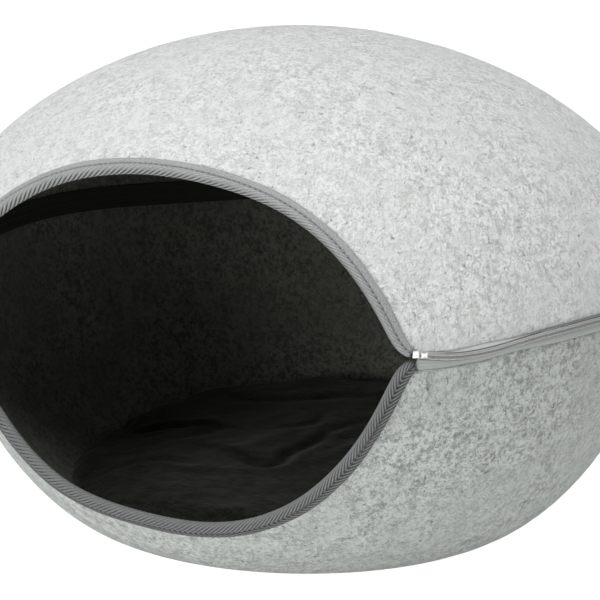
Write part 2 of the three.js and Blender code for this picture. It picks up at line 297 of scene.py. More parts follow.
def lay(points, lengthwise=None, across=None, relief=None):
    """A grid of quads laid on rows of points, closed where its edges meet. The UV
    map holds how far each corner is along and across the cloth, in metres, and the
    relief attribute how high it stands on a rib, from 0 to 1, lowered further where
    shade is painted: along seams, at stitch holes and in grooves. The materials
    paint shade where it is low."""
    rows, columns = points.shape[:2]
    bm = bmesh.new()
    layer = bm.loops.layers.uv.new("UVMap")
    raised = bm.verts.layers.float.new("relief") if relief is not None else None
    bmesh.ops.create_grid(bm, x_segments=columns - 1, y_segments=rows - 1, size=0.5)
    flat = points.reshape(-1, 3) * MM
    for vert, place in zip(bm.verts, flat):
        vert.co = place
    if relief is not None:
        for vert, level in zip(bm.verts, relief.ravel()):
            vert[raised] = level
    if lengthwise is not None:
        along = np.broadcast_to(lengthwise, (rows, columns)).ravel() * MM
        over = np.broadcast_to(across, (rows, columns)).ravel() * MM
        for face in bm.faces:
            for loop in face.loops:
                i = loop.vert.index
                loop[layer].uv = (along[i], over[i])
    bmesh.ops.remove_doubles(bm, verts=bm.verts, dist=1e-6)
    bmesh.ops.dissolve_degenerate(bm, edges=bm.edges, dist=1e-7)
    return bm


def smooth_path(knots, steps):
    """Points on a smooth line through the knots, a Catmull-Rom spline."""
    knots = np.array(knots, float)
    ends = np.stack([2 * knots[0] - knots[1], *knots, 2 * knots[-1] - knots[-2]])
    at = np.linspace(0, len(knots) - 1, steps + 1)
    i = np.minimum(at.astype(int), len(knots) - 2)
    t = (at - i)[:, None]
    a, b, c, d = ends[i], ends[i + 1], ends[i + 2], ends[i + 3]
    return 0.5 * (2 * b + (c - a) * t + (2 * a - 5 * b + 4 * c - d) * t**2
                  + (3 * b - a - 3 * c + d) * t**3)


# ---- Materials ----


def set_inputs(node, values):
    for key, value in values.items():
        node.inputs[key].default_value = value


def plug(tree, socket, value):
    """Links a socket to another, or sets it to a number or colour."""
    if isinstance(value, bpy.types.NodeSocket):
        tree.links.new(value, socket)
    else:
        socket.default_value = (*value, 1) if isinstance(value, tuple) else value


def calculated(tree, operation, values, clamp=False):
    node = tree.nodes.new("ShaderNodeMath")
    node.operation, node.use_clamp = operation, clamp
    for socket, value in zip(node.inputs, values):
        plug(tree, socket, value)
    return node.outputs[0]


class Finish:
    """A material whose nodes are added one call at a time."""

    def __init__(self, name, roughness, **settings):
        self.material = bpy.data.materials.new(name)
        self.material.use_nodes = True
        self.tree = self.material.node_tree
        self.shader = self.tree.nodes["Principled BSDF"]
        settings["Roughness"] = roughness
        set_inputs(self.shader, {k.replace("_", " "): value for k, value in settings.items()})
        self.place = self.add("ShaderNodeTexCoord").outputs["Object"]

    def add(self, kind, links=(), **values):
        node = self.tree.nodes.new(kind)
        for key, value in values.items():
            if key in node.inputs and not hasattr(node, key):
                node.inputs[key].default_value = value
            else:
                setattr(node, key, value)
        for key, source in dict(links).items():
            self.tree.links.new(source, node.inputs[key])
        return node

    def noise(self, scale, detail=2.0, roughness=0.5, distortion=0.0, shift=0.0,
              stretch=(1, 1, 1), turn=(0, 0, 0), source=None):
        place = self.add("ShaderNodeMapping", {"Vector": source or self.place})
        set_inputs(place, dict(Location=(shift, shift * 0.7, -shift * 1.3), Rotation=turn,
                               Scale=stretch))
        node = self.add("ShaderNodeTexNoise", {"Vector": place.outputs[0]})
        set_inputs(node, dict(Scale=scale, Detail=detail, Roughness=roughness,
                              Distortion=distortion))
        return node.outputs["Fac"]

    def math(self, operation, *values, clamp=False):
        return calculated(self.tree, operation, values, clamp)

    def weighed(self, *parts):
        """The sum of values, each times its share."""
        total = None
        for value, share in parts:
            part = self.math("MULTIPLY", value, share)
            total = part if total is None else self.math("ADD", total, part)
        return total

    def step(self, value, low, high, to_low=0.0, to_high=1.0):
        """Takes a value between two levels to 0..1, or to two other numbers, eased."""
        node = self.add("ShaderNodeMapRange", {"Value": value}, interpolation_type="SMOOTHSTEP")
        set_inputs(node, {"From Min": low, "From Max": high,
                          "To Min": to_low, "To Max": to_high})
        return node.outputs[0]

    def hairs(self, scale, width, shift, density, turn=(0, 0, 0), stretch=(1, 1, 1)):
        """Thin wandering lines, broken into short hairs. 1 on a hair and 0 beside it."""
        field = self.noise(scale, 1.0, 0.5, 0.6, shift, stretch, turn)
        off = self.math("ABSOLUTE", self.math("SUBTRACT", field, 0.5))
        line = self.step(off, 0.0, width, 1.0, 0.0)
        where = self.noise(scale * 0.8, 1.0, 0.5, 0, shift + 3.1, stretch, turn)
        return self.math("MULTIPLY", line, self.step(where, density, density + 0.1))

    def mix(self, amount, a, b):
        """Colour a, going over to b as the amount goes from 0 to 1."""
        node = self.add("ShaderNodeMix", data_type="RGBA")
        for i, value in ((0, amount), (6, a), (7, b)):
            plug(self.tree, node.inputs[i], value)
        return node.outputs[2]

    def colour(self, socket):
        self.tree.links.new(socket, self.shader.inputs["Base Color"])

    def bump(self, height, distance, strength=1.0):
        node = self.add("ShaderNodeBump", {"Height": height})
        set_inputs(node, dict(Distance=distance, Strength=strength))
        self.tree.links.new(node.outputs[0], self.shader.inputs["Normal"])

    def grained(self, tone, low, high, dark, pale, relief, strength):
        """Goes from dark to pale as the tone rises, and stands up with it."""
        self.colour(self.mix(self.step(tone, low, high), dark, pale))
        self.bump(tone, relief, strength)
        return self.material


def grey(level, tint=(1, 1, 1)):
    """A linear colour from an sRGB level of 0 to 255."""
    c = level / 255
    c = c / 12.92 if c <= 0.04045 else ((c + 0.055) / 1.055) ** 2.4
    return tuple(c * t for t in tint)


def greys(tint, *levels):
    return [grey(level, tint) for level in levels]


def darker(colour, share):
    return tuple(share * c for c in colour)


def marled_felt(name, body, pale, dark, fleck, sheen, relief):
    """Needle felt: soft pale and dark blotches with short dark fibres, a few long
    dark hairs and small knots in them."""
    felt = Finish(name, 1.0, Sheen_Weight=sheen, Sheen_Roughness=0.5, Specular_IOR_Level=0.15)
    cloud = felt.noise(110, 3.0, 0.6)
    blotch = felt.noise(370, 2.0, 0.6, 0.5, 2.0, (1, 1, 0.85))
    grain = felt.noise(950, 2.0, 0.6, 0.4, 1.0, (1, 1, 0.8))
    tone = felt.weighed((cloud, 0.28), (grain, 0.27), (blotch, 0.45))
    colour = felt.mix(felt.step(tone, 0.385, 0.585), dark, pale)
    calm = felt.step(felt.noise(18, 2.0, 0.5, 0, 7.0), 0.35, 0.65, 0.0, 0.5)
    colour = felt.mix(calm, colour, body)
    fibres = felt.math("ADD",
                       felt.hairs(330, 0.03, 2.0, 0.54, (0.4, 0.2, 0), (1, 1, 0.45)),
                       felt.hairs(420, 0.035, 5.0, 0.54, (0, 0.9, 0.5), (1, 0.5, 1)),
                       clamp=True)
    long_hairs = felt.hairs(120, 0.009, 4.0, 0.6, (0.3, 0.5, 0.2))
    knots = felt.step(felt.noise(260, 2.0, 0.5, 0.8, 11.0, (1, 1, 0.6)), 0.65, 0.75)
    for marks, strength in ((fibres, 0.37), (long_hairs, 0.55), (knots, 0.55)):
        colour = felt.mix(felt.math("MULTIPLY", marks, strength), colour, fleck)
    felt.colour(colour)
    felt.bump(felt.weighed((grain, 0.5), (blotch, 1.0), (knots, -0.25)), relief)
    return felt.material


def twill_tape(name, body, painted_valley_shade):
    """Tape of short yarns, seen between the ribs that the mesh has. It is painted with shade, a
    darker colour, where the relief attribute is low: in the rib valleys, along the seam, at
    stitch holes and over the outer leg.
    """
    tape = Finish(name, 0.85, Sheen_Weight=0.05, Sheen_Roughness=0.5, Specular_IOR_Level=0.2)
    yarn = tape.noise(900, 2.0, 0.6)
    uv = tape.add("ShaderNodeUVMap", uv_map="UVMap").outputs[0]
    thread = tape.noise(1.0, 1.0, 0.5, 0, 0, (1900, 700, 1), source=uv)
    worn = tape.noise(60, 2.0, 0.5, 0, 3.0)
    tone = tape.weighed((yarn, 0.5), (thread, 0.5))
    soft = tuple((v + 2 * b) / 3 for v, b in zip(painted_valley_shade, body))
    colour = tape.mix(tape.step(tone, 0.38, 0.62), soft, body)
    colour = tape.mix(tape.step(worn, 0.35, 0.7, 0, 0.3), colour, body)
    # Painted shade: the darker colour goes on where the relief attribute is low.
    rib = tape.add("ShaderNodeAttribute", attribute_name="relief").outputs["Fac"]
    tape.colour(tape.mix(tape.step(rib, 0.2, 0.9), painted_valley_shade, colour))
    tape.bump(tone, 0.00025, 0.7)
    return tape.material


def plain_thread(name, body, shade):
    """Matte sewing thread."""
    thread = Finish(name, 0.8, Sheen_Weight=0.1, Specular_IOR_Level=0.2)
    tone = thread.noise(1200, 2.0, 0.6)
    return thread.grained(tone, 0.35, 0.65, shade, body, 0.0001, 0.5)


def zip_cloth(name, body, groove, pitch=0.0009):
    """Woven tape with fine ribs along it, a pitch apart in metres. Where the mesh
    has a groove, beside the coil, shade is painted on it in a much darker colour."""
    tape = Finish(name, 0.7, Sheen_Weight=0.1, Specular_IOR_Level=0.3)
    uv = tape.add("ShaderNodeUVMap", uv_map="UVMap").outputs[0]
    ribs = tape.add("ShaderNodeTexWave", {"Vector": uv}, bands_direction="Y",
                    Scale=0.31 / pitch)
    fine = tape.noise(1500, 1.0)
    tone = tape.weighed((ribs.outputs["Fac"], 0.55), (fine, 0.45))
    cloth = tape.mix(tape.step(tone, 0.2, 0.8), groove, body)
    # Painted shade in the groove beside the coil: where the relief attribute is 0, a much
    # darker colour.
    clear = tape.add("ShaderNodeAttribute", attribute_name="relief").outputs["Fac"]
    tape.colour(tape.mix(clear, darker(groove, 0.4), cloth))
    tape.bump(tone, 0.0001, 0.5)
    return tape.material


def nylon(name, body):
    """Half matt moulded nylon."""
    coil = Finish(name, 0.42, Specular_IOR_Level=0.5)
    tone = coil.noise(700, 1.0)
    return coil.grained(tone, 0.3, 0.7, darker(body, 0.82), body, 0.00005, 0.3)


def plated(name):
    """Bright plated metal, slightly worn."""
    metal = Finish(name, 0.24, Metallic=1.0)
    wear = metal.noise(500, 3.0, 0.6)
    rough = metal.step(metal.noise(900, 2.0, 0.5, 0, 2.0), 0.3, 0.7, 0.18, 0.32)
    metal.tree.links.new(rough, metal.shader.inputs["Roughness"])
    return metal.grained(wear, 0.3, 0.7, grey(225), grey(245), 0.00003, 0.3)


def plush(name, body, tip):
    """Short pile, darker where it parts and paler on its tips."""
    pile = Finish(name, 1.0, Sheen_Weight=0.2, Sheen_Roughness=0.4,
                  Sheen_Tint=(0.75, 0.75, 0.72, 1), Specular_IOR_Level=0.1)
    tuft = pile.noise(420, 3.0, 0.7, 0.8)
    nap = pile.noise(70, 4.0, 0.65, 1.2, 4.0, (0.6, 1, 1), (0, 0, 0.5))
    streak = pile.noise(230, 2.0, 0.6, 0.8, 6.0, (0.3, 1, 1), (0, 0, 0.7))
    tone = pile.weighed((tuft, 0.35), (nap, 0.4), (streak, 0.25))
    return pile.grained(tone, 0.4, 0.6, body, tip, 0.0012, 0.9)


DOME_TINT = (0.99, 1.01, 1)
BOWL_TINT = (0.97, 1.03, 0.985)
DARK_TINT = (1, 1.015, 0.88)
DOME_FELT = marled_felt("dome_marled_felt", *greys(DOME_TINT, 219, 234, 188), grey(92),
                        0.4, 0.0018)
# The bowl's felt is the dome's felt painted darker, as shade on the lower half.
SHADED_BOWL_FELT = marled_felt("bowl_marled_felt_painted_shade", *greys(BOWL_TINT, 190, 214, 142), grey(72),
                        0.35, 0.0022)
DARK_FELT = marled_felt("anthracite_marled_felt", *greys(DARK_TINT, 119, 143, 90, 48),
                        0.15, 0.0014)
# The second grey of each tape is the dark colour painted as shade in its rib valleys.
DOME_TAPE = twill_tape("dome_herringbone", *greys((0.98, 1, 1), 168, 66))
# The bowl's binding is the dome's tape painted darker, as shade on the lower half.
SHADED_BOWL_TAPE = twill_tape("bowl_herringbone_painted_shade", grey(134, (0.98, 1, 1.01)),
                       grey(58, (0.98, 1, 1.02)))
THREAD = plain_thread("binding_thread", grey(140), grey(112))
UPPER_TAPE = zip_cloth("upper_tape_weave", grey(216), grey(196))
# The lower zip tape is the upper tape painted darker, as shade below the zip.
SHADED_LOWER_TAPE = zip_cloth("lower_tape_weave_painted_shade", *greys(BOWL_TINT, 184, 168))
COIL = nylon("coil_nylon", grey(178))
ZIP_THREAD = plain_thread("zip_thread", grey(206), grey(170))
BAND_TAPE = zip_cloth("smooth_black_tape", *greys(DARK_TINT, 58, 40), 0.0016)
METAL = plated("plated_metal")
PLUSH = plush("anthracite_plush", grey(16, (1, 1.03, 0.8)), grey(44, (1, 1.03, 0.82)))


# ---- Felt halves and linings ----

LIP_COLUMNS = 170
RIM_COLUMNS = 300
OUTER_ROWS = 26
INNER_ROWS = 16
FOOT_ROWS = 4
EDGE_STEPS = 6
EDGE_ROLL = 0.0045
CROWDING = 1.5
CORNER_ANGLE = 45
CORNER_EASE = 1.5
SKIVE = 0.55
SKIVE_REACH = 13.5
PRESS_REACH = 2.6


def felt_edge(half, rim):
    """The edge of a half's felt: along the opening, then round the rim, closed."""
    track = cut_edge(half)
    corner = float(rim(np.radians(CORNER_ANGLE)))
    lip = evenly(half, beyond(half, track, corner), LIP_COLUMNS)
    turn = np.linspace(lip[0][-1], TURN + lip[0][0], RIM_COLUMNS + 1)[1:]
    from_corner = np.minimum(turn - turn[0], turn[-1] - turn)
    ease = np.minimum(1, from_corner / math.radians(CORNER_EASE))
    reach = corner + (rim(turn) - corner) * ease
    phi = np.concatenate([lip[0], turn])
    psi = np.concatenate([lip[1], psi_at(half, reach)])
    along = lengths(egg_point(half, phi, psi, 0))
    pole = TURN * (along - along[LIP_COLUMNS] / 2) / along[-1]
    return phi, psi, pole


def felt_row(half, edge, share, depth):
    """A closed row of felt, from the edge at share 0 to the pole at 1 and, on the
    foot, to its middle at 2."""
    phi, psi, pole = edge
    level = min(share, 1)
    spread = 1 - (1 - level) ** 2
    at = phi + (pole - phi) * spread
    up = psi + (QUARTER - psi) * level
    reach = half["rise"] * np.sin(up)
    return egg_point(half, at, up, depth(reach), max(0, share - 1))


def felt_piece(name, half, rim, outside, inside, material, node):
    """Two faces of felt and the rounded edge between them, as one closed skin."""
    edge = felt_edge(half, rim)
    foot = [1 + i / FOOT_ROWS for i in range(FOOT_ROWS, 0, -1)] if half is BOWL else []
    away = lambda count: [(i / count) ** CROWDING for i in range(count, 0, -1)]
    rows = [felt_row(half, edge, s, outside) for s in foot + away(OUTER_ROWS)]
    for i in range(EDGE_STEPS + 1):
        turn = math.pi * i / EDGE_STEPS
        through = 1 - math.cos(turn)
        depth = lambda reach: outside(reach) + (inside(reach) - outside(reach)) * through / 2
        rows.append(felt_row(half, edge, EDGE_ROLL * (1 - math.sin(turn)), depth))
    rows += [felt_row(half, edge, s, inside) for s in (foot + away(INNER_ROWS))[::-1]]
    return finished(name, lay(np.stack(rows)), material, [node])


def skived(reach):
    """The felt's inner face, thinner beside the zip where the tape goes under it."""
    return OUTER_FELT - SKIVE * bell(reach / SKIVE_REACH, 4)


def pressed(rim, by):
    """The felt's outer face, pressed thin by the seam that holds the zip."""
    return lambda reach: by * bell(np.maximum(0, reach - rim) / PRESS_REACH, 1.6)


def flush(depth):
    return lambda reach: np.full(np.shape(reach), float(depth))


def lining(name, half, rim, node):
    """A half's inner felt, even all over and cut straight round its rim."""
    return felt_piece(name, half, lambda phi: rim + 0 * phi, flush(LINING_OUTSIDE),
                      flush(LINING_INSIDE), DARK_FELT, node)


dome_outer = felt_piece("dome_outer", DOME, upper_rim, pressed(5, 0.9), skived,
                        DOME_FELT, "dome_felt")
bowl_outer = felt_piece("bowl_outer", BOWL, lower_rim, pressed(5.7, 1.3), skived,
                        SHADED_BOWL_FELT, "bowl_felt")
dome_inner = lining("dome_inner", DOME, 4.9, "dome_lining")
bowl_inner = lining("bowl_inner", BOWL, 5.9, "bowl_lining")


# ---- Bindings ----

# The outside of the folded tape as it lies, by distance from the felt's cut edge
# and depth below the egg's face: the outer leg, pressed in along its stitches, the
# roll over the edge, and the inner leg
FOLD = (
    (7.5, -0.7), (6.6, -1.15), (5, -1.28), (3.5, -1.1), (2.9, -0.8), (2.3, -1.08),
    (1.3, -1.35), (0.4, -1.4), (-0.45, -1.05), (-0.95, -0.1), (-1.2, 1.2), (-1.25, 2.5),
    (-1.15, 3.8), (-0.85, 5.0), (-0.2, 5.9), (0.9, 6.35), (2.2, 6.4), (3.3, 6.25),
    (3.8, 6.05), (4.4, 6.25), (5.6, 6.5), (6.7, 6.4), (7.5, 6.1),
)
FELT_SIDE = (
    (7.5, 5.6), (4, 5.6), (0.2, 5.6), (-0.3, 5.2), (-0.3, 0.3), (0.2, -0.15), (4, -0.15),
    (7.5, -0.15),
)
FOLD_STEPS = 34
FELT_SIDE_STEPS = 12
FOLD_HEART = (1.5, 2.9)
OUTER_LEG = 5
NARROWING = 0.6
NARROW_REACH = 3.5
FRAY = 0.8

# Distances over the tape from its outer edge: the two places where its ribs turn
# back, the first at its outer seam, and where its roll begins and ends
ZONES = (4.85, 15.5)
ROLL = (9, 14)
ROLL_PACE = 0.7
ROLL_FADE = 2.6
EDGE_WAVES = ((0.18, 17.0, 0), (0.12, 7.3, 1))

RIB_COLUMNS = 6
RIB_HEIGHT = 0.36
RIB_SHARPNESS = 1.2
RIB_MIDDLE = 0.6
SEAM_HALF = 0.7
SEAM_PRESS = 0.35
TURN_LEFT = 0.4
TURN_HALF = 0.6
HOLE_HALF = 0.5
# Painted shade: how much darker the tape is painted along its seam and over its outer leg, and
# in a spot at each stitch hole.
SEAM_AND_LEG_PAINTED_SHADE = 0.14
STITCH_PAINTED_SHADE = 0.35

STITCH_PITCH = 3.6
STITCH_LENGTH = 2.6
STITCH_HALF_WIDTH = 0.24
STITCH_HALF_HEIGHT = 0.2
FIRST_STITCH = 5
STITCH_LINES = ((2.9, -0.95), (3.8, 6.2))
FELT_MIDDLE = 3


def fold_frame(half, steps=900):
    """Places along the cut edge of the felt, with how far along each is."""
    phi, psi = evenly(half, cut_edge(half), steps)
    return lengths(egg_point(half, phi, psi, 0)), phi, psi, away_from(half, phi, psi)


def fold_point(half, fold, s, distance, depth):
    """Points s along the cut edge, by distance from it and depth below the face."""
    along, phi, psi, away = fold
    p, q = np.interp(s, along, phi), np.interp(s, along, psi)
    out = np.stack([np.interp(s, along, away[:, k]) for k in range(3)], axis=-1)
    p, q = slide(half, p, q, out, distance)
    return egg_point(half, p, q, depth)


def head(s, total, radius):
    """How full the tape is near its two folded ends, from 0 to 1."""
    end = np.clip(np.minimum(s, total - s) / radius, 0, 1)
    return np.sqrt(np.maximum(0, 1 - (1 - end) ** 2))


def zigzag(end):
    """How far along the tape a rib has run at each place across it where it turns
    back, and at the two ends of the roll, where it runs straighter."""
    marks = [0, ZONES[0], *ROLL, ZONES[1], end]
    pace = (1, -1, -ROLL_PACE, -1, 1)
    steps = [k * (b - a) for k, a, b in zip(pace, marks, marks[1:])]
    return marks, np.cumsum([0, *steps])


def binding(name, half, node, material, pitch, slope, rib_depth_and_painted_shade, radius):
    """Herringbone tape folded over the lip. pitch is from rib to rib along it, slope
    how far a rib runs along it for each millimetre across, the next argument how
    deep the ribs are and how much shade is painted in their valleys, outside the
    seam, inside it and on the roll, up to 1, and radius that of the tape's two ends.
    The tape is drawn in along its seam and lies smoother outside it; shade is painted
    along the seam, in a spot at every stitch hole and over the outer leg."""
    fold = fold_frame(half)
    total = fold[0][-1]
    outside = smooth_path(FOLD, FOLD_STEPS)
    over = lengths(outside)
    shear = slope * np.interp(over, *zigzag(over[-1]))
    spare = np.abs(shear).max()
    count = int((total + 2 * spare) / pitch) * RIB_COLUMNS
    s = np.linspace(-spare, total + spare, count + 1)
    ribs = np.abs(np.sin(math.pi * np.arange(count + 1) / RIB_COLUMNS)) ** RIB_SHARPNESS
    rows = []

    def row(distance, depth, at, t, raised):
        full = head(at, total, radius)
        reach = half["rise"] * np.sin(np.interp(at, fold[0], fold[2]))
        wide = 1 - NARROWING * np.exp(-reach / NARROW_REACH)
        wobble = sum(high * np.sin(at / pace + start) for high, pace, start in EDGE_WAVES)
        wobble = wobble * (distance > OUTER_LEG)
        place = ((distance + wobble) * np.where(distance > 0, wide, 1), depth)
        drawn = (heart + (value - heart) * full for heart, value in zip(FOLD_HEART, place))
        rows.append((fold_point(half, fold, at, *drawn), at, np.full(count + 1, t), raised))

    normals = unit(np.stack([np.gradient(outside[:, 1]), -np.gradient(outside[:, 0])], axis=-1))
    for (a, d), (na, nd), t, lean in zip(outside, normals, over, shear):
        at = np.clip(s + lean, 0, total)
        edge = min(1, t / FRAY, (over[-1] - t) / FRAY)
        seam = bell((t - ZONES[0]) / SEAM_HALF)
        turned = min(1, TURN_LEFT + abs(t - ZONES[1]) / TURN_HALF)
        raised = ribs * edge * (1 - SEAM_PRESS * seam) * turned
        smooth = t < ZONES[0]
        # Painted shade, carried in the relief attribute: darker along the seam, in a spot at
        # each stitch hole, over the smoother outer leg and in the rib valleys.
        gap = (at - FIRST_STITCH + (STITCH_PITCH - STITCH_LENGTH) / 2) / STITCH_PITCH
        hole = bell(STITCH_PITCH * (gap - np.round(gap)) / HOLE_HALF) * seam
        shade = 1 - SEAM_AND_LEG_PAINTED_SHADE * seam - STITCH_PAINTED_SHADE * hole - (SEAM_AND_LEG_PAINTED_SHADE if smooth else 0)
        fade = ROLL[0], ROLL[0] + ROLL_FADE
        show = rib_depth_and_painted_shade[0] if smooth else np.interp(t, fade, rib_depth_and_painted_shade[1:])
        lift = RIB_HEIGHT * (raised - RIB_MIDDLE) * show
        row(a - na * lift, d - nd * lift, at, t, shade - show * (1 - raised))
    for a, d in smooth_path(FELT_SIDE, FELT_SIDE_STEPS):
        row(a, d, np.clip(s, 0, total), over[-1] + 8 - d, 0 * s)
    bm = lay(*(np.stack(kept) for kept in zip(*rows, rows[0])))
    return finished(name, bm, material, [node]), fold, total


def stitches(name, half, fold, total):
    """Lock stitches: short rounded threads in the groove of the tape."""
    bm = bmesh.new()
    at = np.arange(FIRST_STITCH, total - FIRST_STITCH, STITCH_PITCH)
    for distance, depth in STITCH_LINES:
        higher = depth - 1 if depth < FELT_MIDDLE else depth + 1
        places = ((0, depth), (STITCH_LENGTH, depth), (0, higher))
        for a, b, c in zip(*(fold_point(half, fold, at + k, distance, d) * MM
                             for k, d in places)):
            along = Vector(b - a)
            out = Vector(c - a).normalized()
            side = along.cross(out).normalized()
            turn = Matrix((along.normalized(), side, out)).transposed().to_4x4()
            size = Matrix.Diagonal((along.length / 2, STITCH_HALF_WIDTH * MM,
                                    STITCH_HALF_HEIGHT * MM, 1))
            place = Matrix.Translation(Vector((a + b) / 2))
            bmesh.ops.create_uvsphere(bm, u_segments=6, v_segments=5, radius=1,
                                      matrix=place @ turn @ size)
    return finished(name, bm, THREAD)


# Each tuple sets how deep the ribs stand and how much shade is painted in their valleys,
# outside the seam, inside it and on the roll; the bowl's binding gets much more painted shade
# outside its seam.
dome_edge, dome_fold, dome_length = binding(
    "dome_edge_tape", DOME, "dome_binding", DOME_TAPE, 4, 2, (0.12, 0.45, 0.95), 1.2)
bowl_edge, bowl_fold, bowl_length = binding(
    "bowl_edge_tape", BOWL, "bowl_binding", SHADED_BOWL_TAPE, 3.4, -1.6, (0.8, 0.9, 0.5), 3.5)
dome_stitches = stitches("dome_edge_stitches", DOME, dome_fold, dome_length)
bowl_stitches = stitches("bowl_edge_stitches", BOWL, bowl_fold, bowl_length)


# ---- Zip ----

ZIP_START = 43.9
COIL_START = 45.9
BAND_START = 46
TAPE_STEPS = 420
BAND_STEPS = 360
TRACK_STEPS = 3000
TAPE_THICK = 0.5
COIL_PITCH = 0.9
COIL_STEPS = 8
WIRE_RADIUS = 0.21
WIRE_SIDES = 4
THREAD_SIDES = 6

# The loops of each side's wire: how far their middle lies across from the chain's
# and out of the egg, and their half width and half height
LOOP_ACROSS, LOOP_OUT = 0.93, 0.58
LOOP_WIDE, LOOP_TALL = 0.97, 0.5


def seam_point(phi, height, depth):
    """Points beside the seam, above it or below it."""
    above = egg_point(DOME, phi, psi_at(DOME, np.maximum(height, 0)), depth)
    below = egg_point(BOWL, phi, psi_at(BOWL, np.maximum(-height, 0)), depth)
    return np.where(np.asarray(height)[..., None] < 0, below, above)


def seam_strip(start, steps, outline, dark=()):
    """A strip round the seam. outline gives, for the angles, a list of heights and
    depths that go once round its section. Its ends are drawn together. The points
    numbered in dark lie in a groove, and the material paints shade on them."""
    phi = np.radians(np.linspace(start, 360 - start, steps + 1))
    along = lengths(seam_point(phi, 0 * phi, 0))
    section = np.array([(height + 0 * phi, depth + 0 * phi) for height, depth in outline(phi)])
    middle = section.mean(axis=0)
    section = np.concatenate([section, section[:1]])
    gaps = np.diff(section, axis=0)
    over = np.cumsum([0, *np.hypot(gaps[:, 0], gaps[:, 1]).mean(axis=1)])
    section[..., [0, -1]] = middle[..., [0, -1]]
    rows = np.stack([seam_point(phi, *row) for row in section])
    relief = np.ones(rows.shape[:2])
    # 0 in the groove, where the material paints shade.
    relief[list(dark)] = 0
    return lay(rows, along, over[:, None], relief)


def tape_outline(rim, side, rise):
    """The tape from under the coil, up to the felt's rim and in beneath it. rise is
    how much nearer to the rim's face it comes."""

    def outline(phi):
        zip_at, edge = zip_height(phi), side * rim(phi)
        face = [
            (zip_at + side * 0.2, 0.6),
            (zip_at + side * 1.75, 0.62),
            (zip_at + side * 2.1, 1.0),
            (zip_at + side * 2.4, 1.0),
            (zip_at + side * 2.8, 0.72),
            (edge - side * 1.6, 1.2 - 0.1 * rise),
            (edge - side * 0.5, 1.65 - 0.25 * rise),
            (edge + side * 0.15, 2.36 - 0.7 * rise),
            (edge + side * 0.9, 2.52 - 0.2 * rise),
            (edge + side * 5.2, 2.55),
        ]
        return face + [(h, d + TAPE_THICK) for h, d in face[::-1]]

    return outline


def zip_tape(name, rim, side, rise, material, node):
    # Points 2 and 3 of the section, in the groove beside the coil, get painted shade.
    strip = seam_strip(ZIP_START, TAPE_STEPS, tape_outline(rim, side, rise), (2, 3))
    return finished(name, strip, material, [node])


def coil_track():
    """Angles along the coil, how far along each is, and how many turns it has."""
    phi = np.radians(np.linspace(COIL_START, 360 - COIL_START, TRACK_STEPS))
    along = lengths(seam_point(phi, zip_height(phi), -0.6))
    return phi, along, int(along[-1] / COIL_PITCH) - 1


def on_coil(phi, across, out):
    """A mesh laid beside the middle of the chain and out of the egg."""
    return lay(seam_point(phi, zip_height(phi) + across, -out))


def coil(name, side, ahead):
    """One side of the coil: a flattened spiral of nylon, whose turns mesh with the
    other side's in the middle."""
    phi, along, turns = coil_track()
    angle = TURN * np.arange(turns * COIL_STEPS + 1) / COIL_STEPS
    ring = TURN * np.arange(WIRE_SIDES + 1)[:, None] / WIRE_SIDES
    thick = np.full(len(angle), WIRE_RADIUS)
    thick[[0, -1]] = 0
    wide = LOOP_WIDE + thick * np.cos(ring)
    tall = LOOP_TALL + thick * np.cos(ring)
    s = COIL_PITCH * (angle / TURN + ahead)
    at = np.interp(s + thick * np.sin(ring), along, phi)
    wire = on_coil(at, side * (LOOP_ACROSS + wide * np.cos(angle)),
                   LOOP_OUT + tall * np.sin(angle))
    finished(name, wire, COIL, ["zip_coil"])


def coil_thread(name, height):
    """The thread that sews a side of the coil down: a dip between every two turns."""
    phi, along, turns = coil_track()
    marks = np.arange(2 * turns + 1)
    ring = TURN * np.arange(THREAD_SIDES + 1)[:, None] / THREAD_SIDES
    swell = np.where(marks % 2, 1.0, 0.55)
    swell[[0, -1]] = 0
    at = np.interp(COIL_PITCH * marks / 2, along, phi) + 0 * ring
    thread = on_coil(at, height + 0.3 * swell * np.cos(ring),
                     1.16 + 0.12 * swell + 0.22 * swell * np.sin(ring))
    finished(name, thread, ZIP_THREAD)


upper_tape = zip_tape("upper_tape", upper_rim, 1, 0, UPPER_TAPE, "upper_zip_tape")
lower_tape = zip_tape("lower_tape", lower_rim, -1, 1, SHADED_LOWER_TAPE, "lower_zip_tape")
coil("upper_coil", 1, 0.0)
coil("lower_coil", -1, 0.5)
coil_thread("upper_coil_thread", 1.15)
coil_thread("lower_coil_thread", -1.15)

BAND_TOP, BAND_BOTTOM = 10, -7.5
BAND_OUTSIDE, BAND_INSIDE = 6.2, 7.15
BAND_COLUMNS = 28
RIDGES = (7.6, 1.3, -5.0)
RIDGE_HEIGHT = 0.55


def band_outline(phi):
    """The smooth band behind the zip, with three ridges along it."""
    face = []
    for i in range(BAND_COLUMNS + 1):
        height = BAND_TOP - (BAND_TOP - BAND_BOTTOM) * i / BAND_COLUMNS
        ridge = sum(bell(height - at) for at in RIDGES)
        face.append((height, BAND_INSIDE + RIDGE_HEIGHT * ridge))
    return [(BAND_TOP, BAND_OUTSIDE), *face, (BAND_BOTTOM, BAND_OUTSIDE)]


inner_band = finished("inner_band", seam_strip(BAND_START, BAND_STEPS, band_outline),
                      BAND_TAPE, ["zip_facing"])

for node in ("zip_box", "zip_stop"):
    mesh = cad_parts[node].data
    mesh.materials.clear()
    mesh.materials.append(METAL)

